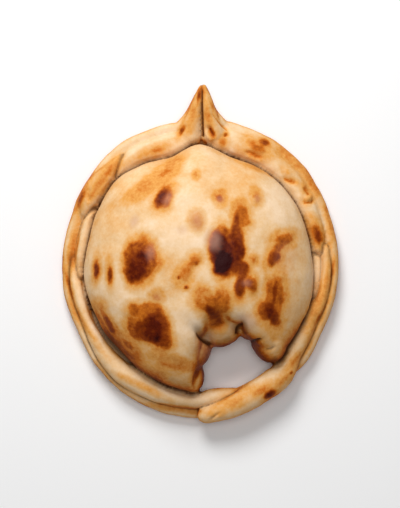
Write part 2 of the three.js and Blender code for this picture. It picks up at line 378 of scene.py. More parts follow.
POUCH_INSETS = [8.6, 11.4, 10.4, 9.6, 9.4, 9.6, 9.2, 8.6, 9.0, 9.0, 8.6, 8.6]
POUCH_INSETS += [8.8, 9.4, 10.2, 10.6, 9.6, 8.8, 8.2, 8.8, 8.4, 7.8, 9.6, 11.6]
POUCH_CENTRE = np.array([-1.0, -4.0])
HOLE_ANGLES = (144.0, 179.5)
HOLE_INSET = 25.5
NOTCH_EDGE_TOP = 16.0  # degrees over which the notch sets in near the crown
NOTCH_EDGE_WAIST = 3.0
BASE_TUCK = 3.5  # mm that the pouch draws in below its waist
BASE_CUT = 2.0  # mm that it reaches below the table, which the relief cuts off flat
CROWN_FLATNESS = 0.92
BASE_FLATNESS = 0.45

LOBES = {
    "left": Lobe((-4.8, -33.0, 10.0), (9.0, 9.8, 14.5), 18.0),
    "left small fold": Lobe((-3.2, -43.4, 7.5), (4.8, 7.2, 8.5), -6.0),
    "middle": Lobe((7.0, -25.0, 10.5), (8.6, 8.4, 12.5), -24.0),
    "right small": Lobe((16.8, -25.2, 9.0), (3.8, 5.6, 11.5), -14.0),
    "right": Lobe((24.6, -28.6, 7.0), (7.0, 11.4, 14.5), -14.0),
}


def periodic(values, degrees):
    """A smooth curve through values spread evenly round a circle."""
    values = list(values)
    looped = values[-2:] + values + values[:3]
    step = 360.0 / len(values)
    place = (np.asarray(degrees) % 360.0) / step + 2.0
    return smooth_through(looped, place / (len(looped) - 1))


def hole_share(degrees, level):
    """How much of the hole is met at an angle and a level, which is 0 at the crown and 1 at the waist."""
    edge = NOTCH_EDGE_TOP + (NOTCH_EDGE_WAIST - NOTCH_EDGE_TOP) * level**3
    start, end = HOLE_ANGLES
    degrees = degrees % 360.0
    entering = smoothstep(start - edge, start + edge, degrees)
    return entering * (1.0 - smoothstep(end - edge, end + edge, degrees))


def round_grid(rows, columns):
    """Angles down from +Z and round it, for every point of a sphere-like mesh."""
    around = np.arange(columns) * 2 * math.pi / columns
    return np.meshgrid(np.linspace(0.0, math.pi, rows), around, indexing="ij")


def pouch_mesh(shape, rows=150, columns=400):
    height = shape.pouch_height / MM
    waist = shape.waist_height / MM
    below = waist + BASE_CUT
    polar, around = round_grid(rows, columns)
    level, upright = np.sin(polar), np.cos(polar)
    above = upright > 0
    degrees = np.degrees(around)
    inset = periodic(POUCH_INSETS, degrees)
    tucked = inset + np.where(above, 0.0, -BASE_TUCK * upright)
    edge_x, edge_y = on_ring(shape, degrees, tucked)
    reach = level ** np.where(above, CROWN_FLATNESS, BASE_FLATNESS)
    share = hole_share(degrees, np.where(above, level, 1.0))
    share = share * np.where(above, smoothstep(0.1, 1.0, level), reach)
    radius = np.hypot(edge_x - POUCH_CENTRE[0], edge_y - POUCH_CENTRE[1])
    shrunk = reach - share * (HOLE_INSET - inset) / radius
    x = POUCH_CENTRE[0] + (edge_x - POUCH_CENTRE[0]) * shrunk
    y = POUCH_CENTRE[1] + (edge_y - POUCH_CENTRE[1]) * shrunk
    rise = np.where(above, (height - waist) * upright, -below * np.abs(upright) ** BASE_FLATNESS)
    return sphere_like_mesh("pouch", x, y, waist + rise)


def sphere_like_mesh(name, x, y, z):
    """A closed mesh from rows of points round Z, the first and last row each being one pole."""
    rows, columns = x.shape
    points = np.column_stack([x.ravel(), y.ravel(), z.ravel()])
    inner = points[columns:-columns]
    top, bottom = points[:columns].mean(axis=0), points[-columns:].mean(axis=0)
    last = len(inner) - columns
    faces = []
    for column in range(columns):
        following = (column + 1) % columns
        for row in range(0, last, columns):
            a, b = row + column, row + following
            faces.append((a, b, b + columns, a + columns))
        faces.append((len(inner), following, column))
        faces.append((len(inner) + 1, last + column, last + following))
    return mesh_of(name, np.vstack([inner, top, bottom]), faces)


def lobe_mesh(name, lobe, rows=40, columns=72):
    polar, around = round_grid(rows, columns)
    turn = math.radians(-lobe.turn)
    x = lobe.half[0] * np.sin(polar) * np.sin(around)
    y = lobe.half[1] * np.sin(polar) * np.cos(around)
    return sphere_like_mesh(
        name,
        lobe.middle[0] + x * math.cos(turn) - y * math.sin(turn),
        lobe.middle[1] + x * math.sin(turn) + y * math.cos(turn),
        lobe.middle[2] + lobe.half[2] * np.cos(polar),
    )


# ---- The crust: one skin over all of it, then its relief, its browning, and its painted shade and sheen


class Spot(NamedTuple):
    """A browned patch seen from above, or a patch of painted shade or sheen: its middle, half sizes, lean
    and how dark it is.

    The lean is in degrees from +Y towards +X. Blister is how far it is raised, in millimetres.
    """

    x: float
    y: float
    half_width: float
    half_length: float
    lean: float
    toast: float
    blister: float = 0.0


def rows_of(kind, *rows):
    return [kind(*row) for row in rows]


POUCH_SPOTS = rows_of(
    Spot,
    # the oval one
    (-21.6, -2.6, 6.3, 9.6, 8, 0.66, 0.3), (-22.4, -4.2, 4.2, 6.4, 12, 0.88),
    # the largest, its scorched middle, and what joins it
    (9.4, 0.2, 6.2, 10.4, -8, 0.68, 0.35), (7.7, -0.4, 4.7, 9.0, -10, 0.96),
    (8.0, -3.4, 3.8, 4.8, -10, 1.16), (13.4, 2.8, 3.2, 8.6, 6, 0.77, 0.1),
    (15.2, 13.4, 3.4, 5.6, -12, 0.62, 0.2), (12.8, 10.6, 1.8, 6.4, 14, 0.74),
    (14.6, -5.6, 3.4, 5.4, -22, 0.8, 0.2), (14.4, -12.0, 2.5, 4.6, 8, 0.82, 0.3),
    (18.4, -11.2, 2.5, 3.8, -16, 0.7, 0.5),
    # the rest of the dark ones
    (-13.0, 20.2, 3.4, 5.4, 28, 0.68, 0.25), (-14.0, 20.0, 1.7, 4.4, 26, 0.86),
    (-18.8, -25.2, 7.6, 8.0, 0, 0.64, 0.3), (-23.6, -20.0, 2.8, 2.8, 0, 0.64),
    (-12.0, -32.0, 2.8, 3.0, 0, 0.66), (-14.8, -27.2, 5.4, 7.0, -10, 0.7),
    (-18.0, -27.2, 5.2, 5.6, 0, 0.78), (1.4, -16.8, 4.8, 5.6, -34, 0.58, 0.1),
    (7.6, -17.6, 3.6, 6.4, 12, 0.62, 0.2), (5.4, -22.4, 3.4, 5.4, -14, 0.66),
    (3.8, -21.0, 1.9, 5.0, -46, 0.8, 0.1), (27.0, -16.0, 3.8, 10.6, 0, 0.62, 0.2),
    (23.6, -20.4, 3.4, 4.2, -20, 0.68, 0.2), (26.4, -21.8, 2.6, 5.6, -24, 0.78),
    (26.8, -14.0, 1.2, 6.6, 3, 0.74), (26.4, -1.4, 2.6, 3.9, 22, 0.74, 0.35),
    (30.6, 5.2, 2.7, 4.2, 62, 0.64, 0.3), (28.6, 2.4, 2.0, 3.4, 42, 0.66),
    # the crackled orange one
    (-1.8, -2.4, 2.5, 3.4, 30, 0.56, 0.35), (-4.8, -7.0, 3.1, 4.8, 36, 0.52, 0.35),
    (-7.7, -8.6, 0.8, 0.9, 0, 0.76), (-5.2, -12.0, 1.2, 1.0, 0, 0.72, 0.2),
    (-1.2, -3.6, 1.2, 1.6, 20, 0.64, 0.2),
    # faint and small ones
    (-12.4, 29.6, 2.0, 4.8, 56, 0.56, 0.1), (-17.0, 26.0, 2.4, 8.0, 54, 0.4),
    (-22.6, 22.4, 1.8, 3.0, 50, 0.46), (-1.3, 28.7, 1.1, 1.5, 10, 0.42),
    (7.1, 20.0, 1.8, 2.3, 0, 0.66, 0.15), (20.3, 20.6, 1.7, 2.6, -20, 0.52, 0.15),
    (-1.2, 12.0, 2.7, 3.5, -10, 0.44, 0.35), (19.2, -2.0, 1.2, 1.9, 0, 0.5, 0.1),
    (-15.6, -15.8, 2.2, 2.4, 0, 0.44), (-37.3, -5.6, 1.2, 4.4, 2, 0.76),
    (-32.6, -7.4, 1.2, 4.2, -4, 0.76), (-32.8, -24.8, 1.4, 6.6, -32, 0.76),
    (-35.2, -19.6, 1.6, 3.2, -20, 0.5), (-26.0, -32.4, 1.5, 4.2, -44, 0.62),
    (-10.2, -38.0, 1.8, 5.6, 112, 0.46), (-14.6, -34.6, 1.4, 2.4, 120, 0.44),
    (17.0, 34.0, 1.6, 9.0, 112, 0.22),
)

# Broad golden washes under the spots, which fade out over their whole width. The four low by the
# hole are painted shade.
POUCH_WASHES = rows_of(
    Spot,
    (-31.0, 14.0, 7.0, 13.0, 25, 0.28), (-17.0, 30.0, 5.4, 13.0, 56, 0.26),
    (2.0, 30.0, 5.0, 15.0, 90, 0.14), (14.0, 22.0, 5.0, 6.0, 0, 0.22),
    (-11.0, -8.0, 8.0, 5.0, 40, 0.24), (27.0, -14.0, 7.0, 15.0, 0, 0.3),
    # painted shade low on the pouch round the hole
    (-22.0, -38.0, 5.0, 14.0, -50, 0.26), (-3.0, -44.0, 4.0, 7.0, 0, 0.32),
    (-11.0, -41.0, 5.0, 9.0, 66, 0.5), (26.0, -34.0, 6.0, 5.0, 30, 0.28),
)

# Painted sheen: greyish pink highlights on browned skin, with painted grey shade in the hollow by the
# right notch.
PAINTED_SHEEN_SPOTS = rows_of(
    Spot,
    (4.6, 5.2, 2.8, 3.6, -10, 0.75), (-17.6, 0.8, 1.5, 2.6, 10, 0.6),
    (-1.2, 12.0, 2.5, 3.2, -10, 0.6), (7.2, 19.6, 1.4, 1.4, 0, 0.5),
    (20.6, 19.8, 1.2, 1.4, 0, 0.5), (-23.8, 11.8, 1.5, 2.2, 20, 0.55),
    (-6.4, 8.8, 2.0, 1.4, 0, 0.35), (-11.4, 19.6, 1.2, 2.8, 26, 0.5),
    (-15.4, -15.6, 1.8, 1.6, 0, 0.35), (16.8, -10.6, 1.5, 1.1, 0, 0.5),
    (17.0, -24.4, 3.4, 3.0, 0, 0.55), (2.0, -33.0, 3.4, 5.0, 30, 0.4),
    (31.0, -2.0, 4.0, 6.0, 0, 0.22),
)

EDGE_SPOTS = rows_of(
    Spot,
    (0.4, 58.8, 2.2, 3.4, 0, 0.58), (-0.6, 57.0, 0.8, 3.6, 8, 0.72),
    (-2.6, 51.4, 1.8, 6.4, 18, 0.48), (-6.6, 44.8, 1.0, 2.8, 24, 0.6),
    (4.2, 43.9, 1.3, 2.9, -18, 0.74), (3.0, 50.0, 1.9, 6.4, -14, 0.5),
    (4.4, 53.4, 0.8, 3.0, -24, 0.5), (8.4, 40.4, 1.8, 2.0, -30, 0.54),
    (9.3, 43.2, 0.9, 1.1, 0, 0.62), (-15.4, 37.6, 1.5, 3.4, 72, 0.5),
    (-19.5, 36.4, 1.4, 6.0, 62, 0.36), (19.2, 36.2, 1.5, 4.4, 114, 0.56),
    (23.2, 40.3, 1.5, 2.8, 118, 0.72), (20.8, 38.8, 2.2, 5.0, 120, 0.54),
    (33.2, 34.6, 2.5, 10.0, -44, 0.48), (40.8, 25.8, 2.3, 9.0, -30, 0.47),
    (46.4, 13.0, 1.3, 8.0, -14, 0.5), (31.8, 29.4, 1.3, 2.6, 140, 0.34, 0.5),
    (33.2, 26.4, 1.0, 2.6, 110, 0.5), (38.2, 23.0, 1.3, 2.6, -34, 0.56),
    (38.8, 20.0, 1.9, 1.8, 0, 0.36, 0.6), (41.7, 8.6, 2.1, 4.0, -20, 0.52, 0.3),
    (42.7, 6.0, 1.9, 3.2, -12, 0.76), (-34.8, 27.6, 2.0, 7.4, 38, 0.52),
    (-39.2, 21.2, 1.3, 2.6, 30, 0.44), (-43.0, 20.0, 1.5, 6.4, 24, 0.6),
    (-45.6, 4.0, 1.1, 9.0, 8, 0.36), (-47.0, -12.0, 1.0, 8.6, -14, 0.6),
    (-40.6, -27.0, 1.0, 7.0, -34, 0.44), (47.4, -8.0, 1.0, 8.0, 8, 0.56),
    (45.6, -9.0, 1.3, 10.0, 6, 0.44), (43.0, -18.0, 1.6, 8.0, 22, 0.34),
    (43.0, -22.6, 0.9, 8.0, 28, 0.58), (34.0, -38.4, 1.0, 6.0, 40, 0.5),
    (24.9, -50.2, 1.5, 2.9, 58, 0.84), (22.2, -49.0, 1.6, 4.4, 60, 0.5),
    (30.0, -45.2, 1.2, 4.4, 44, 0.46), (32.7, -42.6, 0.6, 0.9, 40, 0.66),
    (13.0, -52.6, 2.0, 7.0, 62, 0.38), (-20.0, -48.0, 0.9, 8.0, 116, 0.4),
    (-9.0, -55.4, 0.8, 7.0, 98, 0.44),
)


class Crease(NamedTuple):
    """A line pressed into the dough, through points seen from above.

    The depth is in millimetres and may be negative, for a ridge. Fade is the share of the length
    over which it sets in and dies away. Dark is how far its bottom takes the colour of a seam,
    which is painted shade; a crease with no depth and no browning lays painted shade alone.
    """

    through: list
    depth: float
    half_width: float
    browned: float = 0.0
    dark: float = 0.0
    fade: tuple = (0.3, 0.2)


CREASES = rows_of(
    Crease,
    # the puckers that run into the hole: a broad slope, a narrow fold in it, and painted shade over both
    ([(-9.0, -18.5), (-4.6, -24.6), (0.4, -29.8), (4.0, -32.6)], 1.5, 2.4, 0.0, 0.0, (0.9, 0.35)),
    ([(-3.4, -26.4), (0.4, -29.7), (4.4, -33.4)], 1.0, 0.8, 0.2, 0.95, (0.7, 0.05)),
    ([(-5.6, -23.0), (-1.0, -26.8), (3.4, -31.4)], 0.0, 2.4, 0.0, 0.55, (0.6, 0.2)),
    ([(17.6, -18.0), (16.0, -22.5), (14.2, -26.0), (13.8, -28.8)], 1.4, 2.4, 0.0, 0.0, (0.9, 0.35)),
    ([(15.2, -23.4), (14.2, -26.2), (13.5, -29.4)], 0.9, 0.8, 0.2, 0.95, (0.7, 0.05)),
    ([(15.4, -21.4), (15.6, -25.0), (16.8, -29.4)], 0.0, 2.4, 0.0, 0.55, (0.6, 0.1)),
    # painted shade along the lower edge of the middle lobe
    ([(4.4, -32.6), (8.0, -32.0), (12.6, -29.6)], 0.0, 2.2, 0.0, 0.52),
    ([(23.4, -30.6), (21.2, -30.9), (18.6, -31.5)], 1.0, 0.6, 0.2, 0.95, (0.6, 0.0)),
    ([(27.6, -32.8), (25.4, -34.4), (22.8, -34.4)], 0.6, 0.7, 0.2, 0.55),
    # painted shade under the right lobe
    ([(21.0, -38.0), (24.6, -39.4), (29.0, -36.4)], 0.0, 1.8, 0.0, 0.6),
    ([(0.2, -40.4), (-1.4, -43.6), (-2.4, -48.6)], 0.9, 0.8, 0.2, 0.4),
    # browning and painted shade low on the left lobe, by the rim
    ([(-14.0, -43.0), (-8.0, -46.4), (-2.0, -48.0)], 0.0, 2.6, 0.36, 0.45),
    # the rolled edge
    ([(0.5, 60.4), (0.6, 53.0), (0.8, 46.0), (1.0, 41.4)], 0.5, 0.55, 0.6, 0.95, (0.05, 0.1)),
    ([(3.0, 54.0), (5.2, 50.0), (8.0, 46.6), (11.6, 43.6)], 0.6, 0.5, 0.5, 0.35),
    ([(-22.4, 39.8), (-17.0, 41.4), (-12.6, 42.4)], 0.35, 0.35, 0.1, 0.3),
    ([(3.0, -60.0), (5.2, -58.4), (7.4, -56.6)], 0.6, 0.4, 0.2, 0.5),
    ([(-8.4, 42.0), (-6.4, 44.4), (-4.8, 47.0)], 0.5, 0.7),
    # slits, and the lips of broken blisters
    ([(2.5, 46.8), (3.6, 44.4), (5.4, 41.8)], 1.9, 0.9, 0.82, 0.3, (0.4, 0.4)),
    ([(1.6, 45.0), (2.8, 42.6), (4.6, 40.8)], -0.5, 0.6),
    ([(9.2, 43.4), (9.5, 42.4)], 0.9, 0.8, 0.7, 0.2, (0.5, 0.5)),
    ([(15.8, 37.2), (19.0, 36.2), (22.6, 34.6)], 0.8, 0.8, 0.56),
    ([(17.0, 39.4), (20.4, 38.2), (23.6, 36.4)], -0.5, 0.7),
    ([(29.6, 28.4), (31.0, 26.8), (33.2, 26.0), (35.2, 25.8)], 0.7, 0.75, 0.58, 0.2),
    ([(36.2, 20.4), (37.8, 18.6), (40.2, 18.6), (41.4, 20.2)], 0.5, 0.75, 0.54, 0.1),
    ([(37.2, 24.2), (38.6, 22.6), (39.6, 21.0)], 0.6, 0.8, 0.56, 0.1),
    ([(40.4, 11.0), (42.0, 8.0), (43.2, 5.0), (44.4, 2.0)], 0.8, 1.0, 0.3, 0.3),
    ([(-39.6, 24.6), (-40.6, 21.4), (-39.8, 18.4)], 0.6, 0.6, 0.4, 0.3),
)

VOXEL = 0.55  # mm
BASE_TILE = 9.0
BLEND_ROUNDS = 3  # of smoothing, which blends the folds where they meet
SMOOTH_THEN_SWELL = (0.55, -0.57)
SEAM_REACH = 3.0  # mm, how far off another family of dough is looked for
SEAM_HALF_WIDTH = 0.75
WIDER_BY_POUCH = 0.3
SEAM_ROUNDS = 8  # of smoothing that round off the bottom of a seam before it is cut
SEAM_FILL = 0.6
SEAM_FILL_WIDTH = 1.6
BESIDE_SEAM = 1.8  # mm to either side of a seam where the dough is darker: browning and painted shade
POUCH_SEAM = 1.5  # depth in mm of the groove round the pouch, and between folds
FOLD_SEAM = 0.7
CREASES_ABOVE = 4.0  # mm over the table
VIEW_LEVEL = 10.0  # mm: marks are laid out as seen from above, true to size at this level
VIEW_DISTANCE = 560.0
VIEW_TIP = 3.0  # degrees
SOFT_RIM = 1.6  # mm over which a spot fades, to either side of its outline
FULL_WANDER = 4.5  # mm, the half width from which a spot's outline wanders in full
SOFT_WASH = 20.0
HALO_TOAST = 0.22  # how browned the dough is round a spot
JOINING = 5.0  # how sharply two spots keep apart where they overlap
DRIFT = 1.3  # mm that a spot's outline wanders
EDGE_DRIFT = 0.4  # the share of it on the narrow rolled edge
RAGGED = 0.06
LUMP_HEIGHT = 0.3
PIT_DEPTH = 0.1

# Noise over the dough: the size of its lumps in mm, what it adds to the seed, and its octaves.
NOISES = {
    "drift x": (7.0, 1, 2),
    "drift y": (7.0, 2, 2),
    "ragged": (2.2, 3, 3),
    "grain": (2.2, 4, 3),
    "wide": (15.0, 5, 3),
    "lumps": (11.0, 6, 3),
    "seams": (9.0, 7, 2),
    "patchy": (6.0, 8, 3),
}

# What browns the dough away from its spots, and by how much. The flanks and the dough beside a seam
# are darker partly as painted shade; the low flank of the pouch and some washes are painted shade.
EDGE_TOAST = {"oven": 0.12, "flank": 0.26, "beside a seam": 0.09, "wide": 0.08, "patchy": 0.05}
POUCH_TOAST = {"oven": 0.11, "wide": 0.07, "patchy": 0.05, "wash": 0.45}
POUCH_TOAST |= {"low flank": 0.5, "beside a seam": 0.08}


def numbers_of(items, name, width, kind=np.float32):
    """One property of every vertex or edge of a mesh, a row for each."""
    flat = np.empty(len(items) * width, kind)
    items.foreach_get(name, flat)
    return flat.reshape(-1, width)


def points_of(mesh):
    return numbers_of(mesh.vertices, "co", 3).astype(float) / MM


def set_points(mesh, points):
    mesh.vertices.foreach_set("co", (points * MM).astype(np.float32).ravel())
    mesh.update()


def neighbour_mean(values, pairs):
    """For each vertex, the mean of its neighbours' values."""
    count = len(values)
    degree = np.bincount(pairs.ravel(), minlength=count)
    here, there = pairs.T
    means = [
        np.bincount(here, column[there], count) + np.bincount(there, column[here], count)
        for column in values.reshape(count, -1).T
    ]
    return (np.column_stack(means) / degree[:, None]).reshape(values.shape)


def smoothed(values, pairs, rounds):
    for _ in range(rounds):
        values = 0.5 * (values + neighbour_mean(values, pairs))
    return values


def evened(points, pairs, rounds):
    """Takes out small steps and keeps the size: each round smooths and then swells back."""
    for _ in range(rounds):
        for share in SMOOTH_THEN_SWELL:
            points = points + share * (neighbour_mean(points, pairs) - points)
    return points


def joined_mesh(parts):
    """All the parts in one mesh. Dough that holds no family number is the pouch's, number 0."""
    joined = bmesh.new()
    for part in parts:
        joined.from_mesh(part.data)
    mesh = bpy.data.meshes.new("dough")
    joined.to_mesh(mesh)
    joined.free()
    return mesh


def one_skin(dough):
    """The outermost skin round all of the dough, as one mesh of even faces."""
    holder = object_of(dough.copy())
    remesh = holder.modifiers.new("one skin", "REMESH")
    remesh.mode = "VOXEL"
    remesh.voxel_size = VOXEL * MM
    skin = mesh_with_modifiers(holder)
    remove(holder)
    return skin


def family_gaps(dough, points):
    """How far each point lies from each family's surface, up to the reach of a seam."""
    corners = points_of(dough)
    family = numbers_of(dough.attributes["family"].data, "value", 1).round().astype(int)
    faces = [[] for _ in FAMILIES]
    for face in dough.polygons:
        faces[family[face.vertices[0], 0]].append(tuple(face.vertices))
    gaps = np.full((len(FAMILIES), len(points)), SEAM_REACH)
    for own_family, row in enumerate(gaps):
        tree = BVHTree.FromPolygons(corners.tolist(), faces[own_family])
        own = corners[family[:, 0] == own_family]
        inside = (points > own.min(axis=0) - SEAM_REACH) & (points < own.max(axis=0) + SEAM_REACH)
        for i in np.flatnonzero(inside.all(axis=1)):
            away = tree.find_nearest(points[i].tolist(), SEAM_REACH)[3]
            row[i] = SEAM_REACH if away is None else away
    return gaps


def distance_to_line(points, through):
    """Distance from each point to a bent line seen from above, and the share of the way along it."""
    corners = np.array(through, float)
    legs = len(corners) - 1
    nearest, share = np.full(len(points), np.inf), np.zeros(len(points))
    for i in range(legs):
        start, run = corners[i], corners[i + 1] - corners[i]
        t = np.clip(((points - start) @ run) / (run @ run), 0.0, 1.0)
        away = np.hypot(*(points - start - t[:, None] * run).T)
        closer = away < nearest
        nearest[closer], share[closer] = away[closer], ((i + t) / legs)[closer]
    return nearest, share


def crease_marks(points):
    """How deep the creases press in, how much they brown the dough and how dark their painted shade is.
    """
    depth, brown, dark = np.zeros((3, len(points)))
    for crease in CREASES:
        corners = np.array(crease.through)
        reach = 4 * crease.half_width
        near = points[:, 2] > CREASES_ABOVE
        for axis in (0, 1):
            near &= points[:, axis] > corners[:, axis].min() - reach
            near &= points[:, axis] < corners[:, axis].max() + reach
        near = np.flatnonzero(near)
        away, share = distance_to_line(points[near, :2], crease.through)
        line = bell(away, crease.half_width)
        start, end = crease.fade
        line *= smoothstep(0.0, start, share) * smoothstep(-0.001, end, 1.0 - share)
        depth[near] += crease.depth * line
        brown[near] = np.maximum(brown[near], crease.browned * line)
        dark[near] = np.maximum(dark[near], crease.dark * line)
    return depth, brown, dark


def seen_from_above(points):
    """Where each point is seen from the stage's camera height, tipped a little to the front."""
    nearer = (points[:, 2] - VIEW_LEVEL) / (VIEW_DISTANCE - points[:, 2] + VIEW_LEVEL)
    seen = points * (1.0 + nearer)[:, None]
    seen[:, 1] += (points[:, 2] - VIEW_LEVEL) * math.tan(math.radians(VIEW_TIP))
    seen[:, 2] = points[:, 2]
    return seen


def spot_marks(points, spots, warp, fine, soft=SOFT_RIM, halo_toast=HALO_TOAST):
    """How browned each point is by the spots, and how far their blisters raise it."""
    toast, raised = np.zeros(len(points)), np.zeros(len(points))
    for spot in spots:
        lean = math.radians(spot.lean)
        wander = min(1.0, spot.half_width / FULL_WANDER)
        x = points[:, 0] + wander * warp[0] - spot.x
        y = points[:, 1] + wander * warp[1] - spot.y
        across = (x * math.cos(lean) - y * math.sin(lean)) / spot.half_width
        length = (x * math.sin(lean) + y * math.cos(lean)) / spot.half_length
        away = np.hypot(across, length) + fine
        rim = min(soft / min(spot.half_width, spot.half_length), 0.8)
        browned = spot.toast * (1.0 - 0.1 * np.minimum(away, 1.0) ** 2)
        browned *= smoothstep(1.0 + rim, 1.0 - rim, away)
        halo = min(spot.toast, halo_toast) * smoothstep(1.0 + 1.5 * rim, 1.0, away)
        toast += np.maximum(browned, halo) ** JOINING
        raised += spot.blister * smoothstep(1.05, 0.2, away)
    return toast ** (1.0 / JOINING), raised


def give_relief(mesh, dough, seed):
    """Presses in the creases, raises the blisters, and leaves the browning, the painted shade and the
    painted sheen as attributes.
    """
    pairs = numbers_of(mesh.edges, "vertices", 2, np.int32)
    points = evened(points_of(mesh), pairs, BLEND_ROUNDS)

    # a seam runs where two families of dough are equally near
    gaps = family_gaps(dough, points)
    nearest, second = np.sort(gaps, axis=0)[:2]
    ranked = np.argsort(gaps, axis=0)[:2]
    joined = np.zeros(len(points), bool)
    for names in SEAMLESS:
        joined |= np.isin(ranked, [FAMILIES.index(name) for name in names]).all(axis=0)
    apart = smoothed(np.where(joined, SEAM_REACH, second - nearest), pairs, 1)
    fill = SEAM_FILL * bell(apart, SEAM_FILL_WIDTH)[:, None]
    for _ in range(SEAM_ROUNDS):
        points = points + fill * (neighbour_mean(points, pairs) - points)
    set_points(mesh, points)
    normals = numbers_of(mesh.vertex_normals, "vector", 3).astype(float)
    steady = smoothed(normals, pairs, 5)
    steady /= np.linalg.norm(steady, axis=1)[:, None]

    noise = {}
    for name, (size, added, octaves) in NOISES.items():
        noise[name] = noise_at(points, size, seed + added, octaves)
    off_table = smoothstep(1.5, 5.0, points[:, 2])
    by_pouch = (gaps[0] <= second).astype(float)
    seam = bell(apart, SEAM_HALF_WIDTH + WIDER_BY_POUCH * by_pouch) * off_table
    seam *= 0.95 + 0.2 * noise["seams"]
    seam_depth = seam * (FOLD_SEAM + (POUCH_SEAM - FOLD_SEAM) * by_pouch)

    # hollows are where a point lies below its neighbours' mean, taken over a few rounds; the shader
    # darkens them with painted shade
    broad = smoothed(points, pairs, 8)
    hollow = smoothed(((broad - points) * normals).sum(axis=1), pairs, 2)

    warp = [DRIFT * noise["drift x"], DRIFT * noise["drift y"]]
    edge_warp = [EDGE_DRIFT * part for part in warp]
    fine = RAGGED * noise["ragged"]
    seen = seen_from_above(points)
    pouch_toast, pouch_raised = spot_marks(seen, POUCH_SPOTS, warp, fine)
    washed, _ = spot_marks(seen, POUCH_WASHES, warp, fine, SOFT_WASH)
    edge_toast, edge_raised = spot_marks(seen, EDGE_SPOTS, edge_warp, fine)
    # painted sheen on the dark spots, and painted grey shade in one hollow
    ashen, _ = spot_marks(seen, PAINTED_SHEEN_SPOTS, edge_warp, fine, halo_toast=0.0)
    depth, creased, dark = crease_marks(seen)

    # steeper dough is darker: on the rim partly painted shade, low on the pouch by the hole painted shade
    flank = smoothstep(0.85, 0.1, normals[:, 2])
    causes = {
        "oven": 1.0,
        "flank": flank,
        "low flank": flank * smoothstep(-8.0, -34.0, points[:, 1]),
        "beside a seam": bell(apart, BESIDE_SEAM) * off_table,
        "wash": washed,
        "wide": noise["wide"],
        "patchy": noise["patchy"],
    }
    edge_base, pouch_base = (
        sum(share * causes[cause] for cause, share in shares.items())
        for shares in (EDGE_TOAST, POUCH_TOAST)
    )
    pouch = smoothstep(-0.3, 0.3, gaps[1:].min(axis=0) - gaps[0])
    toast = np.where(pouch > 0.5, pouch_base, edge_base)
    browned = pouch * pouch_toast + (1.0 - pouch) * edge_toast
    toast = np.maximum(toast, 0.0) * smoothstep(0.5, 0.1, browned) + 0.94 * browned
    uneven = 0.07 * noise["patchy"] + 0.05 * noise["grain"]
    toast = np.maximum(toast + uneven * smoothstep(0.3, 0.6, browned), creased)

    raised = pouch * pouch_raised + (1.0 - pouch) * edge_raised
    pitted = PIT_DEPTH * noise["grain"] * smoothstep(0.45, 0.8, toast)
    moved = LUMP_HEIGHT * noise["lumps"] + raised + pitted - depth - seam_depth
    moved *= smoothstep(1.0, 4.0, points[:, 2])
    points = points + moved[:, None] * steady
    points[:, 2] = np.maximum(points[:, 2], 0.0)
    set_points(mesh, points)
    # the sheet that shows in the gap between the pouch and the edge is darkened with the seams' painted
    # shade
    sunk = (gaps.argmin(axis=0) == FAMILIES.index("sheet")) & (gaps[0] < SEAM_REACH)
    seam = np.maximum(seam * (0.75 + 0.25 * by_pouch), 0.7 * smoothed(sunk * off_table, pairs, 2))
    set_attribute(mesh, "toast", np.clip(toast, 0.0, 1.3))
    set_attribute(mesh, "hollow", np.clip(hollow, -1.0, 1.0))
    # painted shade along the seams, on the sheet in the gap and at the bottoms of the creases
    set_attribute(mesh, "seam", np.clip(np.maximum(seam, dark), 0.0, 1.0))
    # painted sheen, kept to the pouch
    set_attribute(mesh, "ashen", np.clip(ashen * pouch, 0.0, 1.0))


def flatten_base(mesh):
    """Swaps the many small faces of the flat underside for one face to each tile of it."""
    work = bmesh.new()
    work.from_mesh(mesh)
    tiles = {}
    for face in work.faces:
        if max(corner.co.z for corner in face.verts) < 0.001 * MM:
            middle = face.calc_center_median() / (BASE_TILE * MM)
            tiles.setdefault((math.floor(middle.x), math.floor(middle.y)), []).append(face)
    for faces in tiles.values():
        bmesh.ops.dissolve_faces(work, faces=faces, use_verts=False)
    work.to_mesh(mesh)
    work.free()


# ---- Materials


def maths(operation, swapped=False):
    """A Python operator that adds one Math node."""

    def operator(self, other):
        values = (other, self) if swapped else (self, other)
        return self.nodes.calculate("ShaderNodeMath", operation, *values)

    return operator


class Value:
    """What a node's socket gives. Python's operators on it add Math nodes."""

    def __init__(self, nodes, socket):
        self.nodes = nodes
        self.socket = socket

    __add__ = __radd__ = maths("ADD")
    __sub__ = maths("SUBTRACT")
    __rsub__ = maths("SUBTRACT", swapped=True)
    __mul__ = __rmul__ = maths("MULTIPLY")

    def between(self, low, high):
        """0 at low, 1 at high, smooth between and held outside."""
        settings = {"interpolation_type": "SMOOTHSTEP"}
        sockets = {"Value": self, "From Min": low, "From Max": high}
        return self.nodes.add("ShaderNodeMapRange", settings, sockets)["Result"]


class Outputs:
    """A node's outputs, by name or number, each as a Value."""

    def __init__(self, nodes, node):
        self.nodes = nodes
        self.node = node

    def __getitem__(self, key):
        return Value(self.nodes, self.node.outputs[key])


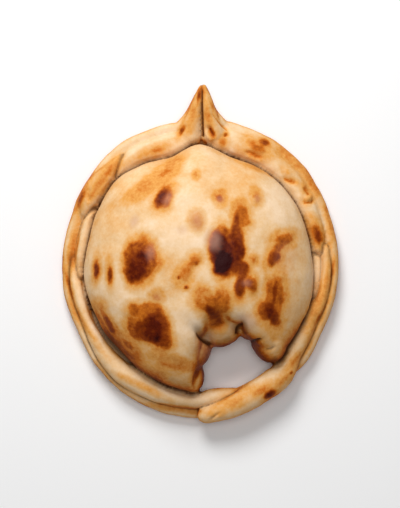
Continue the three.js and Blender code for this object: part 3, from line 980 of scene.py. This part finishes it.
class Nodes:
    """Adds nodes to an empty tree."""

    def __init__(self, tree):
        tree.nodes.clear()
        self.tree = tree

    def add(self, kind, settings=None, sockets=None):
        """Makes a node: its settings first, and then its sockets' values or links."""
        node = self.tree.nodes.new(kind)
        for key, setting in (settings or {}).items():
            if key == "stops":
                self.set_stops(node.color_ramp, setting)
            else:
                setattr(node, key, setting)
        for key, given in (sockets or {}).items():
            if isinstance(given, Value):
                self.tree.links.new(given.socket, node.inputs[key])
            else:
                node.inputs[key].default_value = given
        return Outputs(self, node)

    @staticmethod
    def set_stops(ramp, stops):
        while len(ramp.elements) < len(stops):
            ramp.elements.new(1.0)
        for element, (position, colour) in zip(ramp.elements, stops):
            element.position = position
            element.color = (*colour, 1.0)

    def calculate(self, kind, operation, *values):
        return self.add(kind, {"operation": operation}, dict(enumerate(values)))[0]

    def mix(self, share, first, second, blend="MIX"):
        """A mixed colour."""
        settings = {"data_type": "RGBA", "blend_type": blend}
        sockets = {"Factor": share, 6: first, 7: second}
        return self.add("ShaderNodeMix", settings, sockets)[2]

    def noise(self, where, scale, detail=3.0, roughness=0.55):
        sockets = {"Vector": where, "Scale": scale, "Detail": detail, "Roughness": roughness}
        return self.add("ShaderNodeTexNoise", {}, sockets)["Fac"]

    def attribute(self, name):
        return self.add("ShaderNodeAttribute", {"attribute_name": name})["Fac"]

    def surface(self, sockets):
        skin = self.add("ShaderNodeBsdfPrincipled", {}, sockets)["BSDF"]
        self.add("ShaderNodeOutputMaterial", {}, {"Surface": skin})


# How browned the dough is, from 0 to 1, where each of the finish's colours shows.
BROWNING = {
    "pale": 0.0, "cream": 0.18, "golden": 0.36, "orange": 0.5, "brown": 0.66, "dark": 0.84, "char": 1.0
}


def rgba(colour):
    return (*colour, 1.0)


def new_material(name):
    material = bpy.data.materials.new(name)
    material.use_nodes = True
    return material, Nodes(material.node_tree)


def crust_material(finish):
    """Baked dough: cream to golden, brown and black as its browning rises, glossier where dark. Painted
    shade darkens its hollows and seams, and painted sheen greys some dark spots.
    """
    material, nodes = new_material("baked_crust")
    where = nodes.add("ShaderNodeTexCoord")["Object"]
    toast, hollow, seam, ashen = map(nodes.attribute, ("toast", "hollow", "seam", "ashen"))

    mottle = nodes.noise(where, 160.0, 4.0) - 0.5
    speckle = nodes.noise(where, 900.0, 3.0, 0.65) - 0.5
    patch = nodes.noise(where, 45.0) - 0.5
    browned = toast + mottle * 0.26 + speckle * (0.2 + toast * 0.12) + patch * 0.18
    stops = [(place, getattr(finish, name)) for name, place in BROWNING.items()]
    baked = nodes.add("ShaderNodeValToRGB", {"stops": stops}, {"Fac": browned})["Color"]
    # painted sheen: a greyish pink highlight mixed in over dark spots
    with_painted_sheen = nodes.mix(ashen * 0.7, baked, rgba(finish.sheen_colour))
    # painted shade in the hollows between folds
    hollow_shade = hollow.between(0.05, 0.35)
    shaded = nodes.mix(hollow_shade * 0.6, with_painted_sheen, rgba(finish.hollow_shade), "MULTIPLY")
    # painted shade at the bottoms of seams and creases
    parted = nodes.mix(seam.between(0.25, 0.95), shaded, rgba(finish.seam))

    heat = toast.between(0.45, 0.9)
    grain = nodes.noise(where, 1500.0, 2.0)
    pores = nodes.noise(where, 420.0, 4.0, 0.7)
    height = grain * 0.25 + pores * (0.6 + heat * 1.6)
    relief = {"Strength": 0.35, "Distance": 0.35 * MM, "Height": height}
    nodes.surface(
        {
            "Base Color": parted,
            "Roughness": 0.62 - heat * 0.18 + mottle * 0.2,
            "Specular IOR Level": 0.08,
            "Coat Weight": ashen * 0.1,
            "Coat Roughness": 0.25,
            "Normal": nodes.add("ShaderNodeBump", {}, relief)["Normal"],
        }
    )
    return material


def plain_material(name, colour, roughness):
    material, nodes = new_material(name)
    nodes.surface({"Base Color": rgba(colour), "Roughness": roughness})
    return material


def linear(red, green, blue):
    """A colour given as a screen shows it, from 0 to 255, as linear light."""
    shares = (channel / 255.0 for channel in (red, green, blue))
    return tuple(s / 12.92 if s <= 0.04045 else ((s + 0.055) / 1.055) ** 2.4 for s in shares)


# ---- Properties, operators and panel


def length(name, description, millimetres):
    default = millimetres * MM
    return FloatProperty(name=name, description=description, default=default, unit="LENGTH")


def colour(name, description, *channels):
    default = linear(*channels)
    return FloatVectorProperty(name=name, description=description, default=default, subtype="COLOR")


class EmpanadaShape(bpy.types.PropertyGroup):
    ring_half_width: length("Ring Half Width", "Half the width of the rolled edge's outline", 50.0)
    ring_half_length: length("Ring Half Length", "Half the outline's length without the peak", 53.5)
    ring_centre_y: length("Ring Centre", "How far the ring's centre lies from the origin along Y", -5.2)
    pouch_height: length("Pouch Height", "Height of the crown above the table", HIGH[2] - LOW[2])
    waist_height: length("Waist Height", "Height at which the pouch is widest", 9.0)
    seed: IntProperty(
        name="Seed", description="Chooses the lumps and mottling of the dough", default=3
    )


class EmpanadaFinish(bpy.types.PropertyGroup):
    pale: colour("Pale", "Dough the oven barely touched", 243, 214, 180)
    cream: colour("Cream", "Lightly baked dough", 231, 191, 141)
    golden: colour("Golden", "Golden dough", 222, 158, 80)
    orange: colour("Orange", "The rim of a browned spot", 198, 108, 26)
    brown: colour("Brown", "Well browned dough", 138, 58, 6)
    dark: colour("Dark", "The middle of a browned spot", 92, 26, 4)
    char: colour("Char", "Scorched dough", 46, 6, 6)
    # painted sheen for dark spots
    sheen_colour: colour("Sheen", "Painted greyish pink sheen on browned skin", 190, 138, 116)
    # painted shade for the hollows between folds
    hollow_shade: colour("Hollow Shade", "Painted shade in the hollows between folds", 150, 100, 60)
    # painted shade for seams and creases
    seam: colour("Seam", "Painted shade at the bottom of a crease between folds", 84, 46, 20)


class EmpanadaStage(bpy.types.PropertyGroup):
    elevation: FloatProperty(
        name="Elevation",
        description="How far above the horizon the camera looks down from",
        default=math.radians(87.0),
        subtype="ANGLE",
    )
    lens: FloatProperty(
        name="Lens", description="Focal length", default=110.0, subtype="DISTANCE_CAMERA"
    )
    framed_length: length("Framed Length", "Length that the picture's long side takes in", 182.9)
    floor_colour: FloatVectorProperty(
        name="Floor", description="Colour of the floor", subtype="COLOR", default=(0.93, 0.93, 0.93)
    )


class EMPANADA_OT_rolled_edge(bpy.types.Operator):
    """Rolls the folds of the edge and the peak along their paths"""

    bl_idname = "empanada.rolled_edge"
    bl_label = "Rolled Edge"

    def execute(self, context):
        paths = object_of(paths_mesh(context.scene.empanada_shape))
        tree = rolled_fold_nodes()
        roller = paths.modifiers.new("rolled fold", "NODES")
        roller.node_group = tree
        keys = {item.name: item.identifier for item in tree.interface.items_tree}
        roller[keys["Seed"]] = float(context.scene.empanada_shape.seed)
        rolled = object_of(mesh_with_modifiers(paths))
        rolled.name = "edge_folds"
        remove(paths)
        if not rolled.data.polygons:
            raise RuntimeError("the folds came out empty")
        return {"FINISHED"}


class EMPANADA_OT_pouch(bpy.types.Operator):
    """Puffs up the pouch and the lobes that pucker round the hole"""

    bl_idname = "empanada.pouch"
    bl_label = "Pouch"

    def execute(self, context):
        object_of(pouch_mesh(context.scene.empanada_shape))
        for name, lobe in LOBES.items():
            object_of(lobe_mesh("lobe_" + name.replace(" ", "_"), lobe))
        return {"FINISHED"}


class EMPANADA_OT_crust(bpy.types.Operator):
    """Joins the pouch and the rolled edge into one crust, then creases and browns it"""

    bl_idname = "empanada.crust"
    bl_label = "Crust"

    def execute(self, context):
        scene = context.scene
        parts = [o for o in scene.objects if o.name.split("_")[0] in ("edge", "pouch", "lobe")]
        if len(parts) < 2 + len(LOBES):
            raise RuntimeError("the pouch and the rolled edge come before the crust")
        dough = joined_mesh(parts)
        for part in parts:
            remove(part)
        skin = one_skin(dough)
        give_relief(skin, dough, scene.empanada_shape.seed)
        bpy.data.meshes.remove(dough)
        flatten_base(skin)
        skin.materials.clear()
        skin.materials.append(crust_material(scene.empanada_finish))
        skin.shade_smooth()
        skin.name = "crust"
        crust = object_of(skin)
        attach(crust, "root")
        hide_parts(NODE)
        return {"FINISHED"}


# The places and sizes of the round soft lights in metres, and their watts.
LIGHTS = {
    "key": ((-0.12, 0.44, 0.48), 0.3, 3.6),
    "overhead": ((0.02, 0.0, 0.75), 0.4, 1.65),
}
SKY_STRENGTH = 0.17
FLOOR_REACH = 1500.0  # mm
AIM = Vector((0.0, 0.0, 0.01))


def add_area_light(name, place, size, watts):
    lamp = bpy.data.lights.new(name, "AREA")
    lamp.shape = "DISK"
    lamp.size = size
    lamp.energy = watts
    light = bpy.data.objects.new(name, lamp)
    light.location = place
    light.rotation_euler = (AIM - light.location).to_track_quat("-Z", "Y").to_euler()
    bpy.context.scene.collection.objects.link(light)


class EMPANADA_OT_stage(bpy.types.Operator):
    """Sets up the floor, the lights and the camera"""

    bl_idname = "empanada.stage"
    bl_label = "Stage"

    def execute(self, context):
        stage = context.scene.empanada_stage
        corners = [(-1, -1, 0), (1, -1, 0), (1, 1, 0), (-1, 1, 0)]
        floor = object_of(mesh_of("floor", np.array(corners) * FLOOR_REACH, [(0, 1, 2, 3)]))
        floor.data.materials.append(plain_material("floor_paint", stage.floor_colour, 0.9))

        world = bpy.data.worlds.new("studio")
        world.use_nodes = True
        sky = world.node_tree.nodes["Background"].inputs
        sky["Color"].default_value = (1, 1, 1, 1)
        sky["Strength"].default_value = SKY_STRENGTH
        context.scene.world = world
        for name, light in LIGHTS.items():
            add_area_light(name, *light)

        data = bpy.data.cameras.new("camera")
        data.lens = stage.lens
        distance = stage.framed_length * stage.lens / data.sensor_width
        back = Vector((0.0, -math.cos(stage.elevation), math.sin(stage.elevation)))
        camera = bpy.data.objects.new("camera", data)
        camera.location = AIM + back * distance
        camera.rotation_euler = (math.pi / 2 - stage.elevation, 0.0, 0.0)
        data.clip_start, data.clip_end = 0.01, 20.0
        context.scene.collection.objects.link(camera)
        context.scene.camera = camera
        context.scene.view_settings.view_transform = "Standard"
        context.scene.view_settings.look = "None"
        return {"FINISHED"}


class EMPANADA_PT_panel(bpy.types.Panel):
    bl_label = "Empanada"
    bl_idname = "EMPANADA_PT_panel"
    bl_space_type = "VIEW_3D"
    bl_region_type = "UI"
    bl_category = "Empanada"

    def draw(self, context):
        for group in ("empanada_shape", "empanada_finish", "empanada_stage"):
            box = self.layout.box()
            settings = getattr(context.scene, group)
            for name in settings.__annotations__:
                box.prop(settings, name)
        for operator in OPERATORS:
            self.layout.operator(operator.bl_idname)


PROPERTY_GROUPS = {
    "empanada_shape": EmpanadaShape,
    "empanada_finish": EmpanadaFinish,
    "empanada_stage": EmpanadaStage,
}
OPERATORS = (
    EMPANADA_OT_rolled_edge,
    EMPANADA_OT_pouch,
    EMPANADA_OT_crust,
    EMPANADA_OT_stage,
)


def register():
    for name, group in PROPERTY_GROUPS.items():
        bpy.utils.register_class(group)
        setattr(bpy.types.Scene, name, PointerProperty(type=group))
    for operator in OPERATORS:
        bpy.utils.register_class(operator)
    bpy.utils.register_class(EMPANADA_PT_panel)


def unregister():
    bpy.utils.unregister_class(EMPANADA_PT_panel)
    for operator in reversed(OPERATORS):
        bpy.utils.unregister_class(operator)
    for name, group in PROPERTY_GROUPS.items():
        delattr(bpy.types.Scene, name)
        bpy.utils.unregister_class(group)


def main():
    register()
    bpy.ops.empanada.rolled_edge()
    bpy.ops.empanada.pouch()
    bpy.ops.empanada.crust()
    bpy.ops.empanada.stage()


if __name__ == "__main__":
    main()
